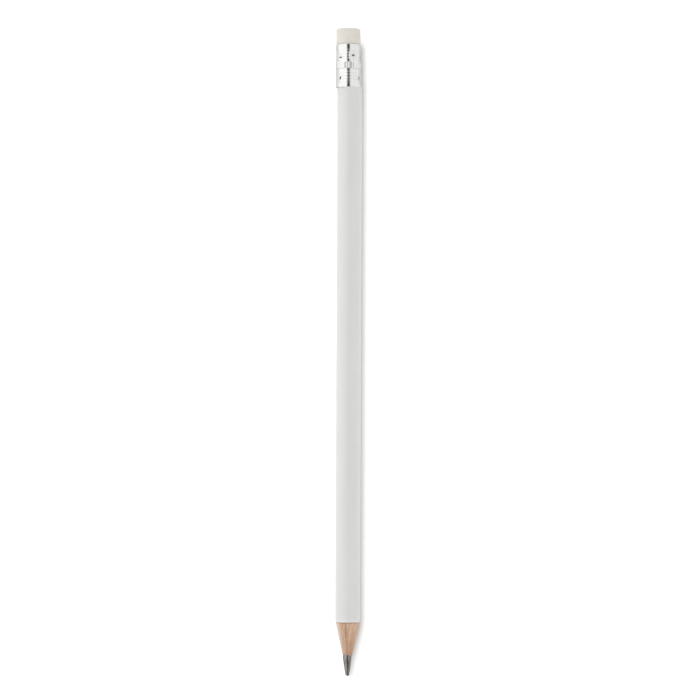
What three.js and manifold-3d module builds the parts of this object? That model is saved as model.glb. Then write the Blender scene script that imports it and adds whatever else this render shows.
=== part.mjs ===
// A round wood-cased pencil, sharpened, with a plug eraser in a crimped ferrule.
//
// Millimetres, +Z up. The pencil lies along Y on the plane z = 0, with its point at -Y and its eraser at +Y.
// The origin is on that plane, under the middle of the pencil's length.
//
// The casing is two grooved slats, glued face to face around the lead. The lacquer is a thin sleeve on them.
// The ferrule is one sheet of metal: ribs, flutes and punch marks press its outer and inner walls in alike,
// and the eraser and the wood give way where the punch marks reach them.

import * as THREE from "three";
import { mergeVertices } from "three/addons/utils/BufferGeometryUtils.js";
import Module from "manifold-3d";

// Driving dimensions of the whole pencil
const OVERALL_LENGTH = 190;
const BARREL_DIAMETER = 7.3; // over the lacquer

// Lead and its point
const LEAD_DIAMETER = 2.56;
const LEAD_CLEARANCE = 0.03; // glue around the lead in its groove
const LEAD_POINT_LENGTH = 6.15; // from the tip to the wood
const LEAD_TIP_DIAMETER = 0.94; // the blunt end of the point
const LEAD_SIDES = 32;

// Wood casing
const CONE_LENGTH = 9.85; // sharpened wood, from its rim to its full diameter
const RIM_THICKNESS = 0.1; // wood left around the lead at the rim
const GLUE_THICKNESS = 0.08; // film between the two slats
const SEAM_TURN = -11; // degrees from straight up to the upper edge of that film, towards +X
const SHOULDER_DEPTH = 0.05; // how far the tenon in the ferrule is turned down

// Lacquer
const COAT_THICKNESS = 0.13;
const COAT_CLEARANCE = 0.02;

// Ferrule, from its top edge to its bottom edge
const COLLAR_LENGTH = 1.55; // plain, around the eraser
const RIB_PITCH = 0.9;
const UPPER_RIBS = 4;
const BAND_LENGTH = 2; // fluted
const LOWER_RIBS = 4;
const SKIRT_LENGTH = 1.85; // plain, around the wood
const FERRULE_WALL = 0.2;
const RIB_DEPTH = 0.08;
const FLUTE_COUNT = 32;
const FLUTE_DEPTH = 0.07;
const FLUTE_RAMP = 0.3; // how far along a flute takes to reach its depth

// Punch marks that crimp the ferrule
const PUNCH_DEPTH = 0.42;
const PUNCH_RADIUS = 0.52;
const UPPER_PUNCHES = 6; // into the eraser
const UPPER_PUNCH_INSET = 3.45; // from the ferrule's top edge
const UPPER_PUNCH_TURN = 20; // degrees from straight up to the first mark, towards +X
const LOWER_PUNCHES = 4; // into the wood
const LOWER_PUNCH_INSET = 2.6; // from the ferrule's bottom edge
const LOWER_PUNCH_TURN = 47;

// Eraser
const ERASER_PROTRUSION = 4.67; // out of the ferrule
const ERASER_SEAT_DEPTH = 6.2; // in the ferrule
const ERASER_EDGE_RADIUS = 0.4;
const ERASER_EDGE_STEPS = 4;
const SEAT_CLEARANCE = 0.05; // around and under what is seated in the ferrule

// Two vertices nearer than this are one, and so are two rings of the ferrule's vertices.
const MERGE_DISTANCE = 1e-4;
const RING_SPACING = 0.05;

// Radii, from the lead outwards
const leadRadius = LEAD_DIAMETER / 2;
const boreRadius = leadRadius + LEAD_CLEARANCE;
const rimRadius = boreRadius + RIM_THICKNESS;
const coatRadius = BARREL_DIAMETER / 2;
const coatBoreRadius = coatRadius - COAT_THICKNESS;
const woodRadius = coatBoreRadius - COAT_CLEARANCE;
const seatRadius = woodRadius - SHOULDER_DEPTH; // the tenon and the eraser fill the same bore
const ferruleBoreRadius = seatRadius + SEAT_CLEARANCE + RIB_DEPTH;
const ferruleRadius = ferruleBoreRadius + FERRULE_WALL;

// Stations along the pencil, from the point to the eraser
const tipY = -OVERALL_LENGTH / 2;
const rimY = tipY + LEAD_POINT_LENGTH;
const coneBaseY = rimY + CONE_LENGTH;
const eraserTopY = OVERALL_LENGTH / 2;
const ferruleTopY = eraserTopY - ERASER_PROTRUSION;
const upperRibsTopY = ferruleTopY - COLLAR_LENGTH;
const bandTopY = upperRibsTopY - UPPER_RIBS * RIB_PITCH;
const bandBottomY = bandTopY - BAND_LENGTH;
const skirtTopY = bandBottomY - LOWER_RIBS * RIB_PITCH;
const ferruleBottomY = skirtTopY - SKIRT_LENGTH;
const eraserBottomY = ferruleTopY - ERASER_SEAT_DEPTH;
const tenonEndY = eraserBottomY - SEAT_CLEARANCE;

// Round pieces have two sides to a flute, and a side, not an edge, faces straight down.
const sides = 2 * FLUTE_COUNT;
const axisHeight = ferruleRadius * Math.cos(Math.PI / sides);

const ribGroups = [
  { topY: upperRibsTopY, bottomY: bandTopY },
  { topY: bandBottomY, bottomY: skirtTopY },
];

const punchRows = [
  {
    y: ferruleTopY - UPPER_PUNCH_INSET,
    count: UPPER_PUNCHES,
    turn: THREE.MathUtils.degToRad(UPPER_PUNCH_TURN),
  },
  {
    y: ferruleBottomY + LOWER_PUNCH_INSET,
    count: LOWER_PUNCHES,
    turn: THREE.MathUtils.degToRad(LOWER_PUNCH_TURN),
  },
];

const wasm = await Module();
wasm.setup();

// A closed geometry as a solid that can be cut.
function solidOf(geometry) {
  const bare = geometry.clone();
  bare.deleteAttribute("normal");
  bare.deleteAttribute("uv");
  const merged = mergeVertices(bare, MERGE_DISTANCE);
  return new wasm.Manifold(
    new wasm.Mesh({
      numProp: 3,
      vertProperties: merged.attributes.position.array,
      triVerts: new Uint32Array(merged.index.array),
    }),
  );
}

// A cut solid as a geometry again.
function geometryOf(solid) {
  const mesh = solid.getMesh();
  const geometry = new THREE.BufferGeometry();
  geometry.setAttribute("position", new THREE.BufferAttribute(mesh.vertProperties, 3));
  geometry.setIndex(new THREE.BufferAttribute(mesh.triVerts, 1));
  geometry.computeVertexNormals();
  return geometry;
}

// A turned piece about the Y axis, from [radius, y] pairs that run outwards, up and back in.
function turned(pairs, count = sides) {
  const points = pairs.map(([radius, y]) => new THREE.Vector2(radius, y));
  return new THREE.LatheGeometry(points, count, Math.PI / count);
}

// The same with a bore: the pairs are a loop, which is closed here.
function turnedRing(pairs) {
  return turned([...pairs, pairs[0]]);
}

// Moves each vertex of a turned piece to the radius that reshape(radius, turn, y) gives.
function reshaped(geometry, reshape) {
  const position = geometry.attributes.position;
  for (let i = 0; i < position.count; i += 1) {
    const x = position.getX(i);
    const y = position.getY(i);
    const z = position.getZ(i);
    const radius = Math.hypot(x, z);
    const turn = Math.atan2(x, z);
    const newRadius = reshape(radius, turn, y);
    position.setXYZ(i, newRadius * Math.sin(turn), y, newRadius * Math.cos(turn));
  }
  return geometry;
}

// How far the ribs press the ferrule in: a wave along each group of ribs, which starts and ends on a crest.
function ribPress(y) {
  const group = ribGroups.find(({ topY, bottomY }) => y < topY && y > bottomY);
  if (!group) {
    return 0;
  }
  const turns = (group.topY - y) / RIB_PITCH;
  return RIB_DEPTH * (0.5 - 0.5 * Math.cos(2 * Math.PI * turns));
}

// How far the flutes of the middle band press it in.
function flutePress(turn, y) {
  const intoBand = Math.min(bandTopY - y, y - bandBottomY);
  const ramp = THREE.MathUtils.clamp(intoBand / FLUTE_RAMP, 0, 1);
  return ramp * FLUTE_DEPTH * (0.5 - 0.5 * Math.sin(FLUTE_COUNT * turn));
}

// How far the punch marks press it in: each is a cone.
function punchPress(turn, y) {
  let press = 0;
  for (const row of punchRows) {
    const spacing = (2 * Math.PI) / row.count;
    const past = THREE.MathUtils.euclideanModulo(turn - row.turn + spacing / 2, spacing);
    const away = Math.hypot(ferruleRadius * (past - spacing / 2), y - row.y);
    press = Math.max(press, PUNCH_DEPTH * (1 - away / PUNCH_RADIUS));
  }
  return press;
}

function ferrulePress(turn, y) {
  return Math.max(ribPress(y), flutePress(turn, y), punchPress(turn, y));
}

// What sits in the ferrule keeps its clearance to the pressed wall.
function seated(radius, turn, y) {
  if (y < ferruleBottomY || y > ferruleTopY) {
    return radius;
  }
  return Math.min(radius, ferruleBoreRadius - ferrulePress(turn, y) - SEAT_CLEARANCE);
}

// The stations around a row of punch marks, where what is seated there has to follow them.
function punchStations(row) {
  return [row.y - PUNCH_RADIUS, row.y, row.y + PUNCH_RADIUS];
}

// Stations from the first rib crest of a group to its last, upwards, one at each crest and valley.
function ribStations(bottomY, count) {
  return Array.from({ length: 2 * count + 1 }, (_, i) => bottomY + (i * RIB_PITCH) / 2);
}

function leadGeometry() {
  const tipRadius = LEAD_TIP_DIAMETER / 2;
  const chamfer = tipRadius / 2;
  return turned(
    [
      [0, tipY],
      [tipRadius - chamfer, tipY],
      [tipRadius, tipY + chamfer],
      [leadRadius, rimY],
      [leadRadius, tenonEndY],
      [0, tenonEndY],
    ],
    LEAD_SIDES,
  );
}

// Both slats and the glue between them, in one, with the channel that the lead lies in.
function casingSolid() {
  const [, lowerRow] = punchRows;
  const blank = turned([
    [0, rimY],
    [rimRadius, rimY],
    [woodRadius, coneBaseY],
    [woodRadius, ferruleBottomY],
    [seatRadius, ferruleBottomY],
    ...punchStations(lowerRow).map((y) => [seatRadius, y]),
    [seatRadius, tenonEndY],
    [0, tenonEndY],
  ]);
  const channel = turned(
    [
      [0, tipY],
      [boreRadius, tipY],
      [boreRadius, eraserTopY],
      [0, eraserTopY],
    ],
    LEAD_SIDES,
  );
  return solidOf(reshaped(blank, seated)).subtract(solidOf(channel));
}

// The part of the casing between two planes beside the seam. Where half is 1 or -1, only the part above or
// below the lead.
function sawn(casing, from, to, half = 0) {
  const reach = BARREL_DIAMETER;
  const height = half === 0 ? 2 * reach : reach;
  const box = new THREE.BoxGeometry(to - from, OVERALL_LENGTH, height);
  box.translate((from + to) / 2, 0, (half * reach) / 2);
  box.rotateY(THREE.MathUtils.degToRad(SEAM_TURN));
  return geometryOf(casing.intersect(solidOf(box)));
}

// The sharpener cuts the lacquer on the same cone as the wood.
function coatGeometry() {
  const slope = CONE_LENGTH / (woodRadius - rimRadius);
  const coneY = (radius) => coneBaseY + (radius - woodRadius) * slope;
  const backY = ferruleBottomY - SEAT_CLEARANCE;
  return turnedRing([
    [coatBoreRadius, coneY(coatBoreRadius)],
    [coatRadius, coneY(coatRadius)],
    [coatRadius, backY],
    [coatBoreRadius, backY],
  ]);
}

// Stations of the whole ferrule, upwards.
function ferruleStations() {
  const stations = [
    ferruleBottomY,
    ...ribStations(skirtTopY, LOWER_RIBS),
    bandBottomY + FLUTE_RAMP,
    bandTopY - FLUTE_RAMP,
    ...ribStations(bandTopY, UPPER_RIBS),
    ferruleTopY,
    ...punchRows.map((row) => row.y),
  ].sort((a, b) => a - b);
  return stations.filter((y, i) => i === 0 || y - stations[i - 1] > RING_SPACING);
}

function ferruleGeometry() {
  const stations = ferruleStations();
  const outer = stations.map((y) => [ferruleRadius, y]);
  const inner = stations.map((y) => [ferruleBoreRadius, y]).reverse();
  return reshaped(turnedRing([...outer, ...inner]), (radius, turn, y) => radius - ferrulePress(turn, y));
}

function eraserGeometry() {
  const [upperRow] = punchRows;
  const edge = Array.from({ length: ERASER_EDGE_STEPS + 1 }, (_, i) => {
    const angle = (i / ERASER_EDGE_STEPS) * (Math.PI / 2);
    return [
      seatRadius - ERASER_EDGE_RADIUS * (1 - Math.cos(angle)),
      eraserTopY - ERASER_EDGE_RADIUS * (1 - Math.sin(angle)),
    ];
  });
  const plug = turned([
    [0, eraserBottomY],
    [seatRadius, eraserBottomY],
    ...punchStations(upperRow).map((y) => [seatRadius, y]),
    ...edge,
    [0, eraserTopY],
  ]);
  return reshaped(plug, seated);
}

// Finishes
const finishes = {
  graphite: { color: 0x4b4a48, roughness: 0.42, metalness: 0.35 },
  wood: { color: 0xcfab8c, roughness: 0.75, metalness: 0 },
  glue: { color: 0xb58f68, roughness: 0.6, metalness: 0 },
  lacquer: { color: 0xe6e6e4, roughness: 0.32, metalness: 0 },
  aluminium: { color: 0xe3e2de, roughness: 0.24, metalness: 1 },
  rubber: { color: 0xece8de, roughness: 0.85, metalness: 0 },
};

function piece(name, geometry, finish) {
  const mesh = new THREE.Mesh(geometry, new THREE.MeshStandardMaterial(finishes[finish]));
  mesh.name = name;
  return mesh;
}

const casing = casingSolid();
const glueHalf = GLUE_THICKNESS / 2;

const woodCasing = new THREE.Group();
woodCasing.add(
  piece("lead_core", leadGeometry(), "graphite"),
  piece("left_slat", sawn(casing, -BARREL_DIAMETER, -glueHalf), "wood"),
  piece("right_slat", sawn(casing, glueHalf, BARREL_DIAMETER), "wood"),
  piece("upper_glue_film", sawn(casing, -glueHalf, glueHalf, 1), "glue"),
  piece("lower_glue_film", sawn(casing, -glueHalf, glueHalf, -1), "glue"),
  piece("lacquer_coat", coatGeometry(), "lacquer"),
);

const eraserEnd = new THREE.Group();
eraserEnd.add(piece("ferrule", ferruleGeometry(), "aluminium"), piece("eraser", eraserGeometry(), "rubber"));

const pencil = new THREE.Group();
pencil.add(woodCasing, eraserEnd);
pencil.position.z = axisHeight;

export default pencil;
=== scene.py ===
"""Looks of a round wood-cased pencil with an eraser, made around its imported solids.

Metres, in the frame of the solids: the pencil lies along Y, its point at -Y and its eraser at +Y.
+Z is up. A turn is an angle about the pencil's axis, from straight up towards +X.
"""

import math

import bmesh
import bpy
import numpy as np
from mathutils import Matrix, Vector, noise


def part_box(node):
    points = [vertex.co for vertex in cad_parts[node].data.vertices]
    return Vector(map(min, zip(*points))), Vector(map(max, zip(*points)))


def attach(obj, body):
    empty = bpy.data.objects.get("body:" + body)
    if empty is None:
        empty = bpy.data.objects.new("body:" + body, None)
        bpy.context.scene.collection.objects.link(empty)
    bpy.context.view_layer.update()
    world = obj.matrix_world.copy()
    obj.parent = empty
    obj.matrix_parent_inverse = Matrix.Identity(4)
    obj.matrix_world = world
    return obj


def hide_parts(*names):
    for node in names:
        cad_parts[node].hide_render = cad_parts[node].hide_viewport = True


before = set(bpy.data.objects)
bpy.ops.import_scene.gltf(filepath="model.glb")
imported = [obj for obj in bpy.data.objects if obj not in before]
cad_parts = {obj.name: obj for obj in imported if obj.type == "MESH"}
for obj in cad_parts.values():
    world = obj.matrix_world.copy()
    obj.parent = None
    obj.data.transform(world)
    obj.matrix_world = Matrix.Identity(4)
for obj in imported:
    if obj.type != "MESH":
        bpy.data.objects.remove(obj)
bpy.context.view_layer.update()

MM = 0.001
DEG = math.pi / 180

# Sizes that the solids give
lead_low, lead_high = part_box("lead_core")
wood_low, wood_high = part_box("right_slat")
coat_low, coat_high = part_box("lacquer_coat")
ferrule_low, ferrule_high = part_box("ferrule")
eraser_low, eraser_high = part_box("eraser")
axis_z = (ferrule_low.z + ferrule_high.z) / 2
lead_radius = (lead_high.z - lead_low.z) / 2
wood_radius = wood_high.z - axis_z
coat_radius = (coat_high.z - coat_low.z) / 2
ferrule_radius = (ferrule_high.z - ferrule_low.z) / 2
plug_radius = (eraser_high.z - eraser_low.z) / 2

# Lead: a rounded tip, a cone with a slight swell and soft flats, and the rod inside the casing
LEAD_TIP_RADIUS = 0.52 * MM
LEAD_TIP_ROUNDING = 0.16 * MM
LEAD_SWELL = 0.03 * MM
LEAD_SWAY = -0.1 * MM
LEAD_SWAY_FADE = 1 * MM
LEAD_FLATS = [turn * DEG for turn in (-68, -26, 1, 60, 104, 150, 196, 243)]
LEAD_FLATNESS = 0.85
LEAD_FLAT_FADE = 2.2 * MM
LEAD_FLAT_POWER = 0.7
LEAD_ROD_START = 1 * MM
LEAD_CLEARANCE = 0.03 * MM

# Wood: a cone with a torn front rim and blade marks, and a tenon inside the ferrule
RIM_THICKNESS = 0.1 * MM
THINNEST_RIM = 0.015 * MM
RIM_SHIFT = -0.08 * MM
RIM_SLANT = -0.1 * MM
RIM_CURL = 0.26 * MM
RIM_CURL_PHASE = 24 * DEG
RIM_TEETH = 0.03 * MM
RIM_TOOTH_COUNT = 9
RIM_TOOTH_PHASE = 2
CUT_DEPTH = 0.012 * MM
CUT_GRAIN = (0.5, 6)
CUT_SEED = 7
BEHIND_CONE = 2 * MM
SHOULDER_GAP = 0.05 * MM
GLUE_THICKNESS = 0.08 * MM
SEAM_TURN = -11 * DEG

# Side and node of each slat, the shift and slant of its figure, and how dark its point end gets; the right
# slat's larger share is painted shade
SLATS = (
    (-1, "left_slat", (3, 1, 8), 35 * DEG, 0.25),
    (1, "right_slat", (11, 4, 2), -30 * DEG, 0.65),
)

# Lacquer: a sleeve with a bevelled front; its waves are shares of the ripple, counts to a turn and phases
COAT_THICKNESS = 0.13 * MM
PAINT_ADVANCE = 0.12 * MM
PAINT_SIDE_ADVANCE = 0.18 * MM
COAT_RIPPLE = 0.02 * MM
COAT_WAVES = ((1, 3, 0.5), (0.6, 8, 2), (0.4, 21, 0))
COAT_FEATHER = 0.006 * MM
COAT_CUT_FALL = 0.01 * MM
COAT_EDGE_LENGTHS = (0.04 * MM, 0.12 * MM)
COAT_EDGE_FALLS = (0.002 * MM, 0)
COAT_BODY_START = 2 * MM
COAT_END_GAP = 0.01 * MM

# Ferrule: a collar, ribs, a fluted band over a scored line, more ribs and a skirt, from its lip down
COLLAR_LENGTH = 1.55 * MM
RIB_PITCH = 0.9 * MM
RIB_COUNT = 4
RIB_DEPTH = 0.11 * MM
RIB_POWER = 0.65
FAINT_RIB_COUNT = 1
FAINT_RIB_DEPTH = 0.1 * MM
BAND_LENGTH = 2 * MM
FLUTE_COUNT = 32
FLUTE_DEPTH = 0.095 * MM
FLUTE_PHASE = 50 * DEG
FLUTE_RAMP = 0.18 * MM
SCORE_DEPTH = 0.09 * MM
SCORE_WIDTH = 0.2 * MM
FERRULE_WALL = 0.2 * MM
LIP_ROUNDING = 0.12 * MM
LIP_SETBACK = 0.06 * MM
LIP_REACH = 1.2 * MM
HEM_ROUNDING = 0.04 * MM
FERRULE_TAPER = 0.1 * MM
FERRULE_OVAL = 0.05 * MM

# Punch marks: two rows, with widths for every other mark, each in a shallow dish
PUNCH_DEPTH = 0.42 * MM
PUNCH_RADIUS = 0.56 * MM
PUNCH_POWER = 1.2
DISH_DEPTH = 0.13 * MM
DISH_RADIUS = 1.95 * MM
UPPER_PUNCHES = [turn * DEG for turn in (23, 80, 140, 200, 260, 317)]
LOWER_PUNCHES = [turn * DEG for turn in (61, 142, 229, 315)]
UPPER_PUNCH_DROP = 3.36 * MM
LOWER_PUNCH_RISE = 2.65 * MM
UPPER_STAGGER = 0.55 * MM
UPPER_PUNCH_WIDTHS = (1.18, 1.8)
LOWER_PUNCH_WIDTHS = (0.8, 0.8)
LOWER_PUNCH_SCALE = 1.2
LOWER_PUNCH_LEAN = 0.35

# Eraser: a plug that is free of the ferrule a little above its lip
SEAT_CLEARANCE = 0.05 * MM
SEAT_RELEASE = 0.3 * MM
ERASER_BULGE = 0.11 * MM
ERASER_BULGE_RISE = 0.35 * MM
ERASER_ROUNDING = 0.28 * MM
ERASER_BASE_SHARES = (0.1, 0.6)
ERASER_LEAST_SHARE = 0.12
ERASER_FREE_RISE = 0.5 * MM
ERASER_BUMP = 0.012 * MM
ERASER_SINK = 0.006 * MM
ERASER_SMOOTH_RADIUS = 0.5 * MM
ERASER_GRAIN = (1.6, 1.6)
ERASER_SEED = 3

# The crimped end sits a little askew on the casing
ASKEW_OFFSET = -0.34 * MM
ASKEW_SLOPE = math.tan(-0.43 * DEG)

# Rows and columns of the meshes
LEAD_COLUMNS = 96
LEAD_TIP_ROWS = 7
LEAD_CONE_ROWS = 60
SLAT_COLUMNS = 97
CONE_ROWS = 72
TENON_ROWS = 32
COAT_COLUMNS = 192
COAT_CUT_ROWS = 8
COAT_BODY_ROWS = 48
FLUTE_COLUMNS = 8
LIP_ROWS = 6
COLLAR_ROWS = 8
RIB_ROWS = 53
BAND_ROWS = 31
SKIRT_ROWS = 27
ERASER_COLUMNS = 128
ERASER_SEAT_ROWS = 34
ERASER_FREE_ROWS = 20
ERASER_EDGE_ROWS = 9
ERASER_FACE_ROWS = 12

# Angles above which two faces meet in a sharp crease
CREASE = 38 * DEG
FERRULE_CREASE = 60 * DEG
LEAD_CREASE = 80 * DEG

# Texture maps: bands up the map for the sides of a wall, and room for rows out of sight and for poles
MAP_NAME = "OFBake"
MAP_BANDS = {
    "inside": (0, 0.12),
    "last_end": (0.13, 0.16),
    "first_end": (0.17, 0.2),
    "back": (0.21, 0.225),
    "front": (0.235, 0.25),
    "outside": (0.26, 1),
}
HIDDEN_ROOM = 0.25
POLE_ROOM = 0.03
LEAST_STEP = 0.1 * MM

# Materials: where a noise mostly lies, and the height of each bump
NOISE_SPAN = (0.3, 0.7)
LACQUER_BUMP = 0.004 * MM
WOOD_BUMP = 0.015 * MM
GLUE_BUMP = 0.01 * MM
GRAPHITE_BUMP = 0.004 * MM
METAL_BUMP = 0.003 * MM
RUBBER_BUMP = 0.04 * MM

# Changes over a surface: where each starts and ends, by noise, millimetres or turn, and its values there
LACQUER_ROUGHNESS = (*NOISE_SPAN, 0.3, 0.38)
WOOD_ROUGHNESS = (*NOISE_SPAN, 0.42, 0.6)
GLUE_ROUGHNESS = (*NOISE_SPAN, 0.45, 0.6)
GRAPHITE_ROUGHNESS = (0.35, 0.65, 0.16, 0.26)
METAL_ROUGHNESS = (*NOISE_SPAN, 0.12, 0.2)
RUBBER_ROUGHNESS = (*NOISE_SPAN, 0.62, 0.78)
PORES = (0.63, 0.72, 0, 0.5)
SEAM_PATCHES = (0.38, 0.62, 0.1, 0.8)
SEAM_STAIN = (0.62, 0.1, 0, 1)
# Wood: the turns over which the cone's left side is paler, a painted sheen where the light falls
PAINTED_SHEEN_TOP = (-14 * DEG, -44 * DEG, 0, 0.6)
PAINTED_SHEEN_SIDE = (-115 * DEG, -85 * DEG, 0, 1)
# Ferrule: darker in its furrows, scored line and punch marks, grime and painted shade
FURROWS = (0.05, 0.14, 0, 0.12)
SCORE_GRIME_AND_SHADE = (0.14, 0.02, 0, 0.4)
SUNK_MARKS = (0.19, 0.33, 0, 1)
SPECKS = (0.66, 0.74, 0, 0.25)
# Eraser: darker just above the ferrule's lip, painted shade
LIP_SHADE = (0.6, 0, 0, 0.2)

# Depths at which the lacquer looks cut, and distances along the pencil between which the wood's colour
# changes; some of these bands are painted shade
COAT_CUT_DEPTHS = (0.005 * MM, 0.03 * MM)
DARK_LINE_BELOW_PAINT = (-0.75 * MM, -0.2 * MM)
POINT_DARKENING_SPAN = (8 * MM, 2.5 * MM)
RIM_SMUDGE = (1.1 * MM, -0.2 * MM)
# Shoulder under the ferrule's hem: lacquer run onto it, in a grey darker than the lacquer as painted shade
SHOULDER_LACQUER_AND_SHADE = (-0.08 * MM, -0.06 * MM)

# Wood: how far the seam's patches are shifted, and how much the streaks bend the painted sheen on the cone's
# left side
PATCH_SHIFT = 0.8
STREAK_BEND = 30 * DEG

# Metal: how dark the punch marks are, with grime and painted shade, and how dull
MARK_GRIME_AND_SHADE = 0.9
MARK_DULLNESS = 0.15

bore_radius = lead_radius + LEAD_CLEARANCE
rim_radius = bore_radius + RIM_THICKNESS
coat_bore = coat_radius - COAT_THICKNESS
ferrule_bore = ferrule_radius - FERRULE_WALL
rim_y = wood_low.y
cone_slope = (coat_bore - rim_radius) / (coat_low.y - rim_y)
cone_end_y = rim_y + (wood_radius - rim_radius) / cone_slope
bevel_length = COAT_THICKNESS / cone_slope
ferrule_length = ferrule_high.y - ferrule_low.y
upper_ribs_drop = COLLAR_LENGTH
band_drop = upper_ribs_drop + RIB_COUNT * RIB_PITCH
lower_ribs_drop = band_drop + BAND_LENGTH
skirt_drop = lower_ribs_drop + RIB_COUNT * RIB_PITCH
upper_punch_y = ferrule_high.y - UPPER_PUNCH_DROP
lower_punch_y = ferrule_low.y + LOWER_PUNCH_RISE


def around(radius, turn, y):
    """Points at radii and turns about the pencil's axis, as one array of rows."""
    radius, turn, y = np.broadcast_arrays(radius, turn, y)
    askew = np.where(y >= ferrule_low.y, ASKEW_OFFSET + ASKEW_SLOPE * (y - ferrule_low.y), 0)
    points = (radius * np.sin(turn) + askew, y, axis_z + radius * np.cos(turn))
    return np.stack(points, axis=-1).reshape(-1, 3)


def column(values):
    """Values down the rows of a grid, one value to a row."""
    return np.array(values, float).reshape(-1, 1)


def full_turn(count):
    """Even turns right round the axis."""
    return np.arange(count) * 2 * math.pi / count


def unevenness(radius, turn, y, grain, seed):
    """Smooth noise from -1 to 1 over a turned surface, with a grain in millimetres across and along."""
    radius, turn, y = np.broadcast_arrays(radius, turn, y)
    values = np.empty(radius.shape)
    across, along = grain[0] * MM, grain[1] * MM
    for place in np.ndindex(radius.shape):
        r, t = radius[place] / across, turn[place]
        values[place] = noise.noise(Vector((r * math.sin(t) + seed, y[place] / along, r * math.cos(t))))
    return values


def row_places(ys, shown):
    """Places of a grid's rows up a map, from 0 to 1: even steps where they show, and by length elsewhere."""
    steps = np.abs(np.diff(ys)) + LEAST_STEP
    seen = np.zeros(len(steps), bool)
    seen[shown] = True
    steps[~seen] *= HIDDEN_ROOM / max(steps[~seen].sum(), LEAST_STEP)
    steps[seen] = (1 - HIDDEN_ROOM) / seen.sum()
    return np.array([0, *np.cumsum(steps)]) / steps.sum()


def patch(band, left, right, low, high):
    """Corners of a face on a map, from its sides across the map and its shares up one band of it."""
    bottom, top = MAP_BANDS[band]
    low, high = bottom + (top - bottom) * low, bottom + (top - bottom) * high
    return [(left, low), (right, low), (right, high), (left, high)]


def shell_faces(ys, columns, closed, shown=slice(None)):
    """Faces of a wall between an outer and an inner grid with rows at these ys, and their corners on its map.

    The wall goes right round the axis, or it is a part turn with two ends.
    """
    rows = len(ys)
    inner = rows * columns
    spans = columns if closed else columns - 1
    up = row_places(ys, shown)
    faces, corners = [], []
    for row in range(rows - 1):
        for step in range(spans):
            here, after = row * columns + step, row * columns + (step + 1) % columns
            for start, band in ((0, "outside"), (inner, "inside")):
                faces.append([start + point for point in (here, after, after + columns, here + columns)])
                corners += patch(band, step / spans, (step + 1) / spans, up[row], up[row + 1])
    for row, band in ((0, "front"), (rows - 1, "back")):
        for step in range(spans):
            here, after = row * columns + step, row * columns + (step + 1) % columns
            faces.append((here, after, inner + after, inner + here))
            corners += patch(band, step / spans, (step + 1) / spans, 0, 1)
    if not closed:
        for step, band in ((0, "first_end"), (columns - 1, "last_end")):
            for row in range(rows - 1):
                here, above = row * columns + step, (row + 1) * columns + step
                faces.append((here, above, inner + above, inner + here))
                corners += patch(band, up[row], up[row + 1], 0, 1)
    return faces, corners


def plug_faces(ys, columns, shown):
    """Faces of a turned plug whose two poles come after its grid of points, and their corners on its map."""
    rows = len(ys)
    up = POLE_ROOM + (1 - 2 * POLE_ROOM) * row_places(ys, shown)
    faces, corners = [], []
    poles = ((rows * columns, 0, 0, up[0]), (rows * columns + 1, (rows - 1) * columns, 1, up[-1]))
    for step in range(columns):
        after = (step + 1) % columns
        left, right = step / columns, (step + 1) / columns
        for row in range(rows - 1):
            base = row * columns
            faces.append((base + step, base + after, base + columns + after, base + columns + step))
            corners += [(left, up[row]), (right, up[row]), (right, up[row + 1]), (left, up[row + 1])]
        for pole, ring, pole_up, ring_up in poles:
            faces.append((pole, ring + step, ring + after))
            corners += [((left + right) / 2, pole_up), (left, ring_up), (right, ring_up)]
    return faces, corners


def add_piece(name, points, skin, node, slot, material, crease=CREASE):
    """A mesh piece that takes a solid's place; its skin is its faces and their corners on its map."""
    faces, corners = skin
    mesh = bpy.data.meshes.new(name)
    mesh.from_pydata(points.tolist(), [], faces)
    mesh.uv_layers.new(name=MAP_NAME).uv.foreach_set("vector", np.ravel(corners))
    form = bmesh.new()
    form.from_mesh(mesh)
    bmesh.ops.recalc_face_normals(form, faces=form.faces)
    form.to_mesh(mesh)
    form.free()
    mesh.shade_smooth()
    mesh.set_sharp_from_angle(angle=crease)
    mesh.materials.append(material)
    piece = bpy.data.objects.new(name, mesh)
    bpy.context.scene.collection.objects.link(piece)
    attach(piece, "root")
    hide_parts(node)
    return piece


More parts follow.
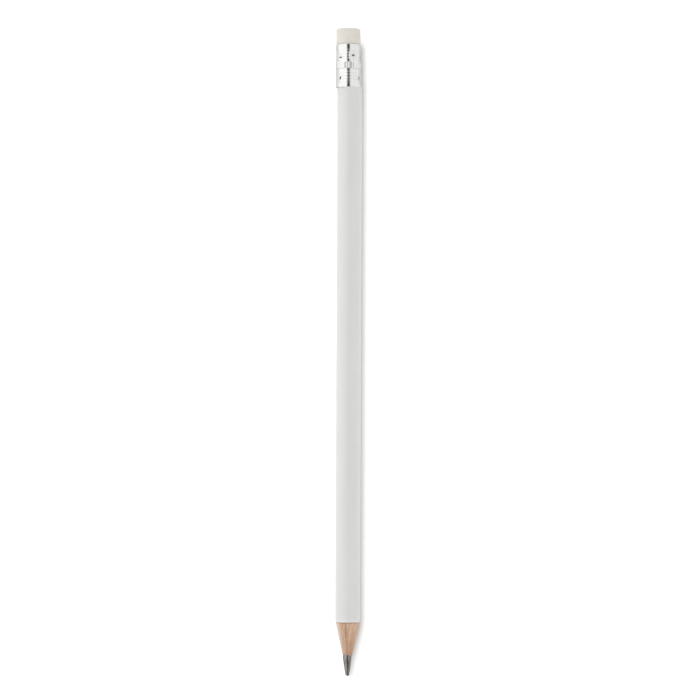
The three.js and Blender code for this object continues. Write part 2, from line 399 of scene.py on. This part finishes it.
def ferrule_press(turn, y):
    """How far in the ferrule's wall lies: its ribs, flutes, scored line, dished marks and slimmer top."""
    drop = ferrule_high.y - y
    ribs = np.zeros(np.broadcast(turn, y).shape)
    for start, count in ((upper_ribs_drop, RIB_COUNT), (lower_ribs_drop, RIB_COUNT + FAINT_RIB_COUNT)):
        place = (drop - start) / RIB_PITCH
        depth = np.where(place < RIB_COUNT, RIB_DEPTH, FAINT_RIB_DEPTH)
        wave = depth * (0.5 - 0.5 * np.cos(2 * math.pi * place)) ** RIB_POWER
        ribs = np.maximum(ribs, np.where((place > 0) & (place < count), wave, 0))
    into_band = np.minimum(drop - band_drop, lower_ribs_drop - drop)
    ramp = np.clip(into_band / FLUTE_RAMP, 0, 1)
    flutes = FLUTE_DEPTH * (1 - np.abs(np.cos(FLUTE_COUNT / 2 * turn - FLUTE_PHASE)))
    press = np.maximum(ribs, ramp * flutes)
    from_score = np.abs(drop - lower_ribs_drop) / (SCORE_WIDTH / 2)
    press = np.maximum(press, SCORE_DEPTH * np.clip(1 - from_score, 0, 1))
    dish = np.zeros(press.shape)
    rows = (
        (UPPER_PUNCHES, upper_punch_y, UPPER_STAGGER, UPPER_PUNCH_WIDTHS, 1, 0),
        (LOWER_PUNCHES, lower_punch_y, 0, LOWER_PUNCH_WIDTHS, LOWER_PUNCH_SCALE, LOWER_PUNCH_LEAN),
    )
    for marks, mark_y, stagger, widths, scale, lean in rows:
        for number, mark in enumerate(marks):
            sideways = ferrule_radius * ((turn - mark + math.pi) % (2 * math.pi) - math.pi)
            lengthwise = y - mark_y + stagger * (number % 2)
            away = np.hypot(sideways, lengthwise)
            wide = widths[number % 2]
            reach = np.hypot((sideways - lean * lengthwise) / wide, lengthwise * wide)
            inside = np.clip(1 - reach / (scale * PUNCH_RADIUS), 0, 1)
            press = np.maximum(press, PUNCH_DEPTH * inside**PUNCH_POWER)
            dish = np.maximum(dish, DISH_DEPTH * np.clip(1 - (away / DISH_RADIUS) ** 2, 0, 1) ** 2)
    lip = LIP_SETBACK * np.clip(1 - drop / LIP_REACH, 0, 1) ** 2
    return press + dish + lip + FERRULE_TAPER * (1 - drop / ferrule_length)


def rounded_edge(inset, rounding):
    """How far a rounded edge falls back from the surface, at an inset from the end."""
    share = 1 - np.clip(inset / rounding, 0, 1)
    return rounding * (1 - np.sqrt(1 - share**2))


def seated(radius, turn, y):
    """A plug's radius inside the ferrule, where the wall's marks press into it, and just above its lip."""
    room = ferrule_bore - ferrule_press(turn, np.minimum(y, ferrule_high.y)) - SEAT_CLEARANCE
    freed = np.sqrt(np.clip((y - ferrule_high.y) / SEAT_RELEASE, 0, 1))
    return np.minimum(radius, room + np.maximum(radius - room, 0) * freed)


def tone(red, green, blue):
    """A colour from 0 to 255 in each channel, as a picture shows it, made linear by the sRGB curve."""
    shares = [channel / 255 for channel in (red, green, blue)]
    return [*[((s + 0.055) / 1.055) ** 2.4 if s > 0.04045 else s / 12.92 for s in shares], 1]


class Nodes:
    """Adds nodes to one tree; each input is a value or the socket that feeds it."""

    # Sockets of a Mix node that hold colours
    MIX_FIRST = 6
    MIX_SECOND = 7
    MIX_RESULT = 2

    def __init__(self, tree):
        self.tree = tree

    def feed(self, socket, value):
        """Links a socket to an input, or sets the input's value."""
        if isinstance(value, bpy.types.NodeSocket):
            self.tree.links.new(value, socket)
        else:
            socket.default_value = value

    def add(self, kind, inputs, **settings):
        """A new node with these settings and inputs."""
        made = self.tree.nodes.new("ShaderNode" + kind)
        for key, value in settings.items():
            setattr(made, key, value)
        for key, value in inputs.items():
            self.feed(made.inputs[key], value)
        return made

    def math(self, operation, *values):
        """The result of one sum on values or sockets."""
        return self.add("Math", dict(enumerate(values)), operation=operation).outputs[0]

    def place(self, stretch=(1, 1, 1), shift=(0, 0, 0), turn=0.0):
        """Own coordinates in millimetres, turned about the pencil's length, stretched and shifted."""
        own = self.add("TexCoord", {}).outputs["Object"]
        if turn:
            own = self.add("VectorRotate", {"Vector": own, "Angle": turn}, rotation_type="Y_AXIS").outputs[0]
        scale = [value / MM for value in stretch]
        return self.add("VectorMath", {0: own, 1: scale, 2: shift}, operation="MULTIPLY_ADD").outputs[0]

    def axes(self):
        """Millimetres across, along and up from the pencil's axis."""
        parts = self.add("SeparateXYZ", {0: self.place(shift=(0, 0, -axis_z / MM))})
        return parts.outputs

    def reach(self, askew=0.0):
        """Millimetres from the pencil's axis, or from one beside it."""
        across, _, up = self.axes()
        sides = [self.math("POWER", side, 2.0) for side in (self.math("SUBTRACT", across, askew), up)]
        return self.math("SQRT", self.math("ADD", *sides))

    def noise(self, place, detail, roughness=0.55):
        """Smooth noise, mostly within its span, at a place that is already stretched."""
        inputs = {"Vector": place, "Scale": 1.0, "Detail": detail, "Roughness": roughness}
        return self.add("TexNoise", inputs).outputs[0]

    def fade(self, value, start, end, low=0.0, high=1.0):
        """A smooth change from low to high, as a value goes from start to end."""
        inputs = {"Value": value, "From Min": start, "From Max": end, "To Min": low, "To Max": high}
        return self.add("MapRange", inputs, interpolation_type="SMOOTHSTEP").outputs[0]

    def ramp(self, factor, stops):
        """A colour between those at the stops around a factor."""
        made = self.add("ValToRGB", {0: factor})
        points = made.color_ramp.elements
        points[0].position, points[0].color = stops[0]
        points[1].position, points[1].color = stops[-1]
        for position, colour in stops[1:-1]:
            points.new(position).color = colour
        return made.outputs[0]

    def mottle(self, factor, first, second):
        """A colour that goes from the first to the second over the span of a noise."""
        return self.ramp(factor, [*zip(NOISE_SPAN, (first, second))])

    def mix(self, factor, first, second):
        """The first colour, with a share of the second over it."""
        inputs = {0: factor, self.MIX_FIRST: first, self.MIX_SECOND: second}
        return self.add("Mix", inputs, data_type="RGBA").outputs[self.MIX_RESULT]

    def bump(self, height, distance, strength=1.0):
        """Normals of a surface that a height from 0 to 1 raises by up to a distance."""
        inputs = {"Height": height, "Distance": distance, "Strength": strength}
        return self.add("Bump", inputs).outputs[0]


def new_material(name):
    """A node helper for a new material, and a call that feeds its shader by socket name and returns it."""
    material = bpy.data.materials.new(name)
    material.use_nodes = True
    nodes = Nodes(material.node_tree)
    shader = material.node_tree.nodes["Principled BSDF"]

    def finish(**inputs):
        for key, value in inputs.items():
            nodes.feed(shader.inputs[key.replace("_", " ")], value)
        return material

    return nodes, finish


def lacquer_material():
    """White lacquer: a faint orange peel and long brush ripple, and a brighter edge where it is cut."""
    nodes, finish = new_material("white_lacquer")
    cloud = nodes.noise(nodes.place((0.35, 0.05, 0.35)), detail=3.0)
    skin = nodes.noise(nodes.place((1.6, 0.7, 1.6)), detail=5.0)
    body = nodes.mottle(cloud, tone(229, 229, 227), tone(233, 233, 231))
    cut = nodes.fade(nodes.reach(), *[(coat_radius - depth) / MM for depth in COAT_CUT_DEPTHS])
    colour = nodes.mix(cut, body, tone(236, 236, 236))
    rough = nodes.fade(skin, *LACQUER_ROUGHNESS)
    return finish(Base_Color=colour, Roughness=rough, Normal=nodes.bump(skin, LACQUER_BUMP))


def wood_material(name, shift, slant, point_darkening):
    """Cut cedar: fibres, darker pores, a stained seam, a paler left side that is painted sheen, and bands
    along the pencil, partly painted shade.
    """
    nodes, finish = new_material(name)
    rings = nodes.noise(nodes.place((1.1, 0.04, 0.2), shift, slant), detail=2.0)
    streaks = nodes.noise(nodes.place((2.4, 0.22, 0.8), shift, slant), detail=3.0)
    fibres = nodes.noise(nodes.place((9, 0.35, 9), shift), detail=5.0, roughness=0.6)
    pores = nodes.noise(nodes.place((7, 0.45, 7), shift), detail=2.0)
    patch_shift = [value + PATCH_SHIFT for value in shift]
    patches = nodes.noise(nodes.place((0.5, 0.35, 0.5), patch_shift), detail=2.0)
    figure = 0.0
    for layer, share in ((rings, 0.35), (streaks, 0.4), (fibres, 0.25)):
        figure = nodes.math("MULTIPLY_ADD", layer, share, figure)
    stops = [(0.38, tone(184, 145, 115)), (0.5, tone(212, 174, 144)), (0.62, tone(234, 202, 175))]
    colour = nodes.ramp(figure, stops)
    colour = nodes.mix(nodes.fade(pores, *PORES), colour, tone(142, 104, 78))
    across, along, up = nodes.axes()
    level = nodes.math("MULTIPLY", across, math.cos(SEAM_TURN))
    lean = nodes.math("MULTIPLY", up, math.sin(SEAM_TURN))
    from_seam = nodes.math("ABSOLUTE", nodes.math("SUBTRACT", level, lean))
    patchy = nodes.fade(patches, *SEAM_PATCHES)
    seam = nodes.math("MULTIPLY", nodes.fade(from_seam, *SEAM_STAIN), patchy)
    colour = nodes.mix(seam, colour, tone(148, 110, 84))
    # Painted sheen: the cone's left side, towards the light, is paler
    turn = nodes.math("MULTIPLY_ADD", streaks, STREAK_BEND, nodes.math("ARCTAN2", across, up))
    painted_sheen = nodes.math("MULTIPLY", nodes.fade(turn, *PAINTED_SHEEN_TOP), nodes.fade(turn, *PAINTED_SHEEN_SIDE))
    colour = nodes.mix(painted_sheen, colour, tone(240, 221, 204))
    # Bands along the pencil: a darker line below the paint's edge, a darker point end (more on the right slat
    # as painted shade), a smudge at the rim, and a grey shoulder under the ferrule (lacquer run and painted
    # shade)
    stains = (
        (coat_low.y, DARK_LINE_BELOW_PAINT, 0.55, tone(150, 104, 82)),
        (rim_y, POINT_DARKENING_SPAN, point_darkening, tone(188, 146, 114)),
        (rim_y, RIM_SMUDGE, 0.3, tone(140, 118, 100)),
        (ferrule_low.y, SHOULDER_LACQUER_AND_SHADE, 1.0, tone(196, 195, 192)),
    )
    for y, (start, end), most, stain in stains:
        share = nodes.fade(along, (y + start) / MM, (y + end) / MM, 0.0, most)
        colour = nodes.mix(share, colour, stain)
    rough = nodes.fade(fibres, *WOOD_ROUGHNESS)
    normal = nodes.bump(fibres, WOOD_BUMP, strength=0.7)
    return finish(Base_Color=colour, Roughness=rough, Normal=normal, Sheen_Weight=0.4, Sheen_Roughness=0.4)


def glue_material():
    """Dried glue, darker than the wood beside it."""
    nodes, finish = new_material("dried_glue")
    cloud = nodes.noise(nodes.place((2, 0.4, 2)), detail=4.0)
    colour = nodes.mottle(cloud, tone(140, 104, 78), tone(196, 158, 126))
    rough = nodes.fade(cloud, *GLUE_ROUGHNESS)
    return finish(Base_Color=colour, Roughness=rough, Normal=nodes.bump(cloud, GLUE_BUMP))


def graphite_material():
    """Sharpened graphite: fine rings from the blade and soft smears, with a dull metallic sheen."""
    nodes, finish = new_material("graphite")
    rings = nodes.noise(nodes.place((0.7, 9, 0.7)), detail=5.0, roughness=0.65)
    grit = nodes.noise(nodes.place((14, 14, 14)), detail=3.0)
    smears = nodes.noise(nodes.place((1.6, 0.5, 1.6)), detail=3.0)
    mixed = nodes.math("ADD", nodes.math("MULTIPLY", rings, 0.6), nodes.math("MULTIPLY", grit, 0.4))
    shade = nodes.math("ADD", nodes.math("MULTIPLY", mixed, 0.5), nodes.math("MULTIPLY", smears, 0.5))
    colour = nodes.ramp(shade, [(0.38, tone(127, 123, 119)), (0.62, tone(163, 159, 154))])
    rough = nodes.fade(mixed, *GRAPHITE_ROUGHNESS)
    normal = nodes.bump(mixed, GRAPHITE_BUMP, strength=0.4)
    return finish(Base_Color=colour, Metallic=0.9, Roughness=rough, Normal=normal)


def ferrule_material():
    """Bright pressed aluminium: fine drawing lines round it, with grime and painted shade in its pressed
    places.
    """
    nodes, finish = new_material("pressed_aluminium")
    from_hem = nodes.math("SUBTRACT", nodes.axes()[1], ferrule_low.y / MM)
    askew = nodes.math("MULTIPLY_ADD", from_hem, ASKEW_SLOPE, ASKEW_OFFSET / MM)
    level = nodes.math("MULTIPLY_ADD", from_hem, -FERRULE_TAPER / ferrule_length, ferrule_radius / MM)
    depth = nodes.math("SUBTRACT", level, nodes.reach(askew))
    # Darker furrows, scored line and punch marks: grime and painted shade in the hollows
    furrow = nodes.fade(depth, *FURROWS)
    score_y = (ferrule_high.y - lower_ribs_drop - ferrule_low.y) / MM
    from_score = nodes.math("ABSOLUTE", nodes.math("SUBTRACT", from_hem, score_y))
    furrow = nodes.math("MAXIMUM", furrow, nodes.fade(from_score, *SCORE_GRIME_AND_SHADE))
    sunk = nodes.fade(depth, *SUNK_MARKS)
    lines = nodes.noise(nodes.place((0.5, 16, 0.5)), detail=5.0, roughness=0.65)
    cloud = nodes.noise(nodes.place((0.8, 0.8, 0.8)), detail=4.0)
    metal = nodes.mottle(cloud, tone(236, 236, 234), tone(242, 242, 240))
    colour = nodes.mix(furrow, metal, tone(160, 158, 154))
    colour = nodes.mix(nodes.math("MULTIPLY", sunk, MARK_GRIME_AND_SHADE), colour, tone(66, 64, 62))
    rough = nodes.fade(lines, *METAL_ROUGHNESS)
    rough = nodes.math("ADD", rough, nodes.math("MULTIPLY", sunk, MARK_DULLNESS))
    normal = nodes.bump(lines, METAL_BUMP, strength=0.5)
    return finish(Base_Color=colour, Metallic=1.0, Roughness=rough, Normal=normal)


def eraser_material():
    """Matt off-white rubber with a soft mottle, a fine grain, a few specks, and painted shade just above the
    ferrule's lip.
    """
    nodes, finish = new_material("eraser_rubber")
    cloud = nodes.noise(nodes.place((0.5, 0.5, 0.5)), detail=4.0)
    grain = nodes.noise(nodes.place((5, 5, 5)), detail=5.0, roughness=0.65)
    specks = nodes.noise(nodes.place((2.6, 2.6, 2.6), (5, 2, 9)), detail=2.0)
    colour = nodes.mottle(cloud, tone(232, 227, 218), tone(238, 234, 226))
    colour = nodes.mix(nodes.fade(specks, *SPECKS), colour, tone(196, 190, 180))
    # Painted shade just above the lip, where the eraser meets the ferrule
    above_lip = nodes.math("SUBTRACT", nodes.axes()[1], ferrule_high.y / MM)
    colour = nodes.mix(nodes.fade(above_lip, *LIP_SHADE), colour, tone(178, 172, 162))
    rough = nodes.fade(grain, *RUBBER_ROUGHNESS)
    normal = nodes.bump(grain, RUBBER_BUMP, strength=0.9)
    return finish(Base_Color=colour, Roughness=rough, Normal=normal)


def make_lead():
    """The lead: one rod with a point that the blade has left in soft flats."""
    turns = full_turn(LEAD_COLUMNS)
    bend = np.linspace(0, math.pi / 2, LEAD_TIP_ROWS)
    flat_radius = LEAD_TIP_RADIUS - LEAD_TIP_ROUNDING
    tip_radii = flat_radius + LEAD_TIP_ROUNDING * np.sin(bend)
    tip_ys = lead_low.y + LEAD_TIP_ROUNDING * (1 - np.cos(bend))
    cone = np.linspace(0, 1, LEAD_CONE_ROWS)[1:]
    swell = LEAD_SWELL * np.sin(math.pi * cone)
    cone_radii = LEAD_TIP_RADIUS + (lead_radius - LEAD_TIP_RADIUS) * cone + swell
    cone_ys = tip_ys[-1] + (rim_y - tip_ys[-1]) * cone
    rod_ys = [rim_y + LEAD_ROD_START, ferrule_low.y - SHOULDER_GAP, ferrule_low.y, lead_high.y]
    radius = column([*tip_radii, *cone_radii, *[lead_radius] * len(rod_ys)])
    y = column([*tip_ys, *cone_ys, *rod_ys])
    bare = np.clip((rim_y - y) / LEAD_SWAY_FADE, 0, 1)
    flatness = LEAD_FLATNESS * np.clip((rim_y - y) / LEAD_FLAT_FADE, 0, 1) ** LEAD_FLAT_POWER
    nearest = np.max([np.cos(turns - flat) for flat in LEAD_FLATS], axis=0)
    points = around(radius * (1 + flatness * (1 / nearest - 1)), turns, y)
    sway = LEAD_SWAY * bare * (y - lead_low.y) / (rim_y - lead_low.y)
    points[:, 0] += (sway + 0 * turns).ravel()
    poles = around(0, 0, np.array([lead_low.y, lead_high.y]))
    points = np.vstack([points, poles])
    skin = plug_faces(y.ravel(), len(turns), slice(len(tip_ys) + len(cone_ys)))
    material = graphite_material()
    return add_piece("graphite_lead", points, skin, "lead_core", "graphite", material, LEAD_CREASE)


def rim_wave(turn):
    """How far the torn front edge of the wood is from its mean, towards the eraser."""
    slant = RIM_SLANT * np.sin(turn)
    curl = RIM_CURL * np.cos(2 * turn + RIM_CURL_PHASE)
    teeth = RIM_TEETH * np.cos(RIM_TOOTH_COUNT * turn + RIM_TOOTH_PHASE)
    return RIM_SHIFT + slant + curl + teeth


def paint_edge(turn):
    """Where the cone reaches the paint, a little nearer the point at the pencil's two sides."""
    return coat_low.y - (PAINT_ADVANCE + PAINT_SIDE_ADVANCE * np.sin(turn) ** 2)


def casing_rows():
    """Shares from the front edge to the end of the cone, and the rows of the casing behind it."""
    middle_y = 0
    behind = [cone_end_y + BEHIND_CONE, middle_y, ferrule_low.y - SHOULDER_GAP]
    tenon = np.linspace(ferrule_low.y, wood_high.y, TENON_ROWS)
    return column(np.linspace(0, 1, CONE_ROWS)), column(behind), column(tenon)


def casing_grid(turns_at):
    """Points and skin of a piece of the casing; turns_at gives the turns that a radius has."""
    cone, behind, tenon = casing_rows()
    start = rim_y + rim_wave(turns_at(rim_radius))
    slope = (coat_bore - rim_radius) / (paint_edge(turns_at(wood_radius)) - rim_y)
    cone_y = start + cone * (rim_y + (wood_radius - rim_radius) / slope - start)
    cone_radius = np.maximum(rim_radius + slope * (cone_y - rim_y), bore_radius + THINNEST_RIM)
    cone_turn = turns_at(cone_radius)
    scrape = 1 + unevenness(cone_radius, cone_turn, cone_y, CUT_GRAIN, CUT_SEED)
    cone_radius = cone_radius - CUT_DEPTH * np.sqrt(np.sin(math.pi * cone)) * scrape
    behind_turn = turns_at(wood_radius)
    tenon_turn = turns_at(plug_radius)
    tenon_radius = seated(plug_radius, tenon_turn, tenon)
    columns = behind_turn.shape[-1]
    outer = [
        around(cone_radius, cone_turn, cone_y),
        around(wood_radius, behind_turn, behind + np.zeros(columns)),
        around(tenon_radius, tenon_turn, tenon),
    ]
    bore_turn = turns_at(bore_radius)
    inner = [around(bore_radius, bore_turn, y + np.zeros(columns)) for y in (cone_y, behind, tenon)]
    ys = np.concatenate([rows.mean(axis=1) for rows in (cone_y, behind, tenon)])
    return np.vstack(outer + inner), shell_faces(ys, columns, False, slice(len(cone)))


def make_casing():
    """Two slats of wood and the two glue films between them."""
    half = GLUE_THICKNESS / 2

    def slat_turns(side):
        share = np.linspace(0, 1, SLAT_COLUMNS)
        return lambda radius: SEAM_TURN + side * (
            np.arcsin(half / radius) + share * (math.pi - 2 * np.arcsin(half / radius))
        )

    def film_turns(start):
        sides = np.array([-1, 1])
        return lambda radius: SEAM_TURN + start + sides * np.arcsin(half / radius)

    pieces = []
    for side, node, shift, slant, point_darkening in SLATS:
        material = wood_material(node + "_wood", shift, slant, point_darkening)
        pieces.append(add_piece(node + "_cut", *casing_grid(slat_turns(side)), node, "wood", material))
    glue = glue_material()
    for start, node in ((0, "upper_glue_film"), (math.pi, "lower_glue_film")):
        pieces.append(add_piece(node + "_cut", *casing_grid(film_turns(start)), node, "glue", glue))
    return pieces


def make_coat():
    """The lacquer: a thin sleeve whose front is cut on the line of the cone."""
    turns = full_turn(COAT_COLUMNS)
    cut = column(np.linspace(0, 1, COAT_CUT_ROWS))
    ripple = COAT_RIPPLE * sum(share * np.cos(count * turns + phase) for share, count, phase in COAT_WAVES)
    cut_y = paint_edge(turns) + cut * (bevel_length + ripple)
    cut_radius = coat_bore + COAT_FEATHER + (coat_radius - COAT_CUT_FALL - coat_bore) * cut
    edge_y = cut_y[-1] + column(COAT_EDGE_LENGTHS)
    edge_radius = coat_radius - column(COAT_EDGE_FALLS)
    body_end = ferrule_low.y - COAT_END_GAP
    body_y = column(np.linspace(coat_low.y + COAT_BODY_START, body_end, COAT_BODY_ROWS))
    y = np.vstack([cut_y, edge_y, body_y + 0 * turns])
    radius = np.vstack([cut_radius + 0 * turns, edge_radius + 0 * turns, coat_radius + 0 * (body_y + turns)])
    points = np.vstack([around(radius, turns, y), around(coat_bore, turns, y)])
    skin = shell_faces(y.mean(axis=1), len(turns), True)
    return add_piece("lacquered_barrel", points, skin, "lacquer_coat", "lacquer", lacquer_material())


def make_ferrule():
    """The ferrule: a pressed tube with a rolled lip, ribs, a fluted band and two rows of punch marks."""
    turns = full_turn(FLUTE_COLUMNS * FLUTE_COUNT)
    bend = 1 - np.cos(np.linspace(0, math.pi / 2, LIP_ROWS))
    drops = [
        *LIP_ROUNDING * bend,
        *np.linspace(LIP_ROUNDING, upper_ribs_drop, COLLAR_ROWS)[1:],
        *np.linspace(upper_ribs_drop, band_drop, RIB_ROWS)[1:],
        *np.linspace(band_drop, lower_ribs_drop, BAND_ROWS)[1:],
        *np.linspace(lower_ribs_drop, skirt_drop, RIB_ROWS)[1:],
        *np.linspace(skirt_drop, ferrule_length - HEM_ROUNDING, SKIRT_ROWS)[1:],
        *ferrule_length - HEM_ROUNDING * bend[-2::-1],
    ]
    drop = column(drops)
    y = ferrule_high.y - drop
    rolled = rounded_edge(drop, LIP_ROUNDING) + rounded_edge(ferrule_length - drop, HEM_ROUNDING)
    shape = FERRULE_OVAL * np.sin(turns) ** 2 - ferrule_press(turns, y)
    outer = around(ferrule_radius - rolled + shape, turns, y)
    inner = around(ferrule_bore + shape, turns, y)
    points = np.vstack([outer, inner])
    skin = shell_faces(y.ravel(), len(turns), True)
    material = ferrule_material()
    return add_piece("pressed_ferrule", points, skin, "ferrule", "ferrule_metal", material, FERRULE_CREASE)


def make_eraser():
    """The eraser: a rubber plug, pinched by the ferrule and a little uneven above it."""
    turns = full_turn(ERASER_COLUMNS)
    base_radii = plug_radius * np.array(ERASER_BASE_SHARES)
    seat_y = np.linspace(eraser_low.y, ferrule_high.y, ERASER_SEAT_ROWS)
    round_y = eraser_high.y - ERASER_ROUNDING
    free_y = np.linspace(ferrule_high.y, round_y, ERASER_FREE_ROWS)[1:]
    bend = np.linspace(0, math.pi / 2, ERASER_EDGE_ROWS)[1:]
    edge_y = round_y + ERASER_ROUNDING * np.sin(bend)
    edge_inset = ERASER_ROUNDING * (1 - np.cos(bend))
    face_shares = np.linspace(1, ERASER_LEAST_SHARE, ERASER_FACE_ROWS)[1:]
    face_radius = plug_radius + ERASER_BULGE - ERASER_ROUNDING
    swell = ERASER_BULGE * np.clip((free_y - ferrule_high.y) / ERASER_BULGE_RISE, 0, 1)
    radius = column(
        [
            *base_radii,
            *[plug_radius] * len(seat_y),
            *plug_radius + swell,
            *plug_radius + ERASER_BULGE - edge_inset,
            *face_radius * face_shares,
        ]
    )
    base_y = [eraser_low.y] * len(base_radii)
    y = column([*base_y, *seat_y, *free_y, *edge_y, *[eraser_high.y] * len(face_shares)])
    free = np.clip((y - ferrule_high.y) / ERASER_FREE_RISE, 0, 1)
    bumps = unevenness(radius, turns, y, ERASER_GRAIN, ERASER_SEED)
    bumpy = free * (radius > ERASER_SMOOTH_RADIUS)
    radius = seated(radius, turns, y) + ERASER_BUMP * bumpy * bumps
    y = y - ERASER_SINK * free * (1 + bumps)
    poles = around(0, 0, np.array([eraser_low.y, eraser_high.y - ERASER_SINK]))
    points = np.vstack([around(radius, turns, y), poles])
    skin = plug_faces(y.mean(axis=1), len(turns), slice(len(seat_y), None))
    add_piece("eraser_plug", points, skin, "eraser", "eraser_rubber", eraser_material())


# Camera: the width that it sees at the pencil's axis, and where its middle looks
FRAME_WIDTH = 205.7 * MM
CAMERA_PLACE = (0.39 * MM, 0.7 * MM)
CAMERA_ROLL = 0.24 * DEG
SENSOR_WIDTH = 36
LENS_LENGTH = 135
NEAREST_SEEN = 0.01

# Floor: its tones to the camera and to the pencil, darker within these millimetres across and along
FLOOR_RADIUS = 0.4
FLOOR_STEPS = 65
FLOOR_TONE = tone(237, 237, 237)
FLOOR_BOUNCE = tone(210, 210, 210)
END_BOUNCE = tone(188, 188, 188)
TIP_BOUNCE = tone(165, 165, 165)
BESIDE_PENCIL = (50.0, 8.0)
BESIDE_ENDS = ((60.0, 84.0, END_BOUNCE), (-82.0, -90.0, TIP_BOUNCE))

# Lamps of the two halves of the floor
LAMP_HEIGHT = 1.0
LAMP_SPREAD = 28 * DEG
LAMP_LENGTH = 0.7
LAMP_GLOW = 7.0
LAMP_SAMPLES = 50
POINT_LAMP_Y = 0.24
ERASER_LAMP_Y = -0.05

# Sky: the levels of its two soft boxes, and the edges of the dark gap between them in degrees
LEFT_BOX_LEVEL = 1.13
RIGHT_BOX_LEVEL = 0.905
BOX_BLEND = 5 * DEG
GAP_DARKNESS = 0.97
GAP_SIDES = ((-19, -8), (20, 5))
GAP_ENDS = ((-36, -24), (66, 34))
WHITE = (1, 1, 1, 1)


def floor_material():
    """A pale sweep: white to the camera, and darker in the light that it throws back on the pencil."""
    nodes, finish = new_material("pale_sweep")
    seen = nodes.add("LightPath", {}).outputs["Is Camera Ray"]
    across, along, _ = nodes.axes()
    near = nodes.fade(nodes.math("ABSOLUTE", across), *BESIDE_PENCIL)
    bounce = FLOOR_BOUNCE
    for start, end, darker in BESIDE_ENDS:
        beside = nodes.math("MULTIPLY", near, nodes.fade(along, start, end))
        bounce = nodes.mix(beside, bounce, darker)
    colour = nodes.mix(seen, bounce, FLOOR_TONE)
    return finish(Base_Color=colour, Roughness=0.9, Specular_IOR_Level=0.0)


def make_floor(name, side, material):
    """Half of a round floor, on one side of the pencil's middle."""
    mesh = bpy.data.meshes.new(name)
    turns = np.linspace(0, side * math.pi, FLOOR_STEPS)
    rim = FLOOR_RADIUS * np.stack([np.cos(turns), np.sin(turns), 0 * turns], axis=-1)
    mesh.from_pydata(rim.tolist(), [], [list(range(len(turns)))[::side]])
    mesh.materials.append(material)
    floor = bpy.data.objects.new(name, mesh)
    bpy.context.scene.collection.objects.link(floor)
    return floor


def light_floor(floor, lamp_y, blockers):
    """A soft box above and to the left, for one half of the floor alone, so that the sweep is white."""
    name = floor.name + "_lamp"
    data = bpy.data.lights.new(name, "AREA")
    data.shape = "RECTANGLE"
    data.size = LAMP_HEIGHT * math.tan(LAMP_SPREAD)
    data.size_y = LAMP_LENGTH
    across = np.linspace(0, data.size, LAMP_SAMPLES)
    along = column(np.linspace(lamp_y - LAMP_LENGTH / 2, lamp_y + LAMP_LENGTH / 2, LAMP_SAMPLES))
    data.energy = LAMP_GLOW / np.mean(1 / (LAMP_HEIGHT**2 + across**2 + along**2) ** 2)
    lamp = bpy.data.objects.new(name, data)
    lamp.location = (-data.size / 2, lamp_y, LAMP_HEIGHT)
    lamp.visible_camera = False
    bpy.context.scene.collection.objects.link(lamp)
    lit = bpy.data.collections.new("lit_by_" + name)
    lit.objects.link(floor)
    lamp.light_linking.receiver_collection = lit
    shading = bpy.data.collections.new("shades_" + name)
    for piece in blockers:
        shading.objects.link(piece)
    lamp.light_linking.blocker_collection = shading


def make_sky():
    """Two wide soft boxes over the pencil, the left one brighter, with a dark gap between them above it."""
    world = bpy.data.worlds.new("studio")
    bpy.context.scene.world = world
    world.use_nodes = True
    world.node_tree.nodes.clear()
    nodes = Nodes(world.node_tree)
    direction = nodes.add("SeparateXYZ", {0: nodes.add("TexCoord", {}).outputs["Generated"]}).outputs
    sideways = nodes.math("ARCTAN2", direction[0], direction[2])
    lengthwise = nodes.math("ARCTAN2", direction[1], direction[2])
    level = nodes.fade(sideways, -BOX_BLEND, BOX_BLEND, LEFT_BOX_LEVEL, RIGHT_BOX_LEVEL)
    gap = GAP_DARKNESS
    for angle, edges in ((sideways, GAP_SIDES), (lengthwise, GAP_ENDS)):
        for start, end in edges:
            gap = nodes.math("MULTIPLY", gap, nodes.fade(angle, start * DEG, end * DEG))
    level = nodes.math("MULTIPLY", level, nodes.math("SUBTRACT", 1.0, gap))
    glow = nodes.add("Background", {"Color": WHITE, "Strength": level})
    white = nodes.add("Background", {"Color": WHITE, "Strength": 1.0})
    seen = nodes.add("LightPath", {}).outputs["Is Camera Ray"]
    both = nodes.add("MixShader", {0: seen, 1: glow.outputs[0], 2: white.outputs[0]})
    nodes.add("OutputWorld", {"Surface": both.outputs[0]})


def make_camera():
    """A long lens straight above the pencil, the eraser at the top of the frame."""
    data = bpy.data.cameras.new("camera")
    data.sensor_width = SENSOR_WIDTH
    data.lens = LENS_LENGTH
    data.clip_start = NEAREST_SEEN
    camera = bpy.data.objects.new("camera", data)
    camera.location = (*CAMERA_PLACE, axis_z + FRAME_WIDTH * data.lens / data.sensor_width)
    camera.rotation_euler = (0, 0, CAMERA_ROLL)
    bpy.context.scene.collection.objects.link(camera)
    bpy.context.scene.camera = camera


make_camera()
shading_pieces = [make_lead(), *make_casing(), make_coat(), make_ferrule()]
make_eraser()
sweep = floor_material()
light_floor(make_floor("floor_point_half", -1, sweep), POINT_LAMP_Y, shading_pieces)
light_floor(make_floor("floor_eraser_half", 1, sweep), ERASER_LAMP_Y, shading_pieces)
make_sky()
bpy.context.scene.view_settings.view_transform = "Standard"
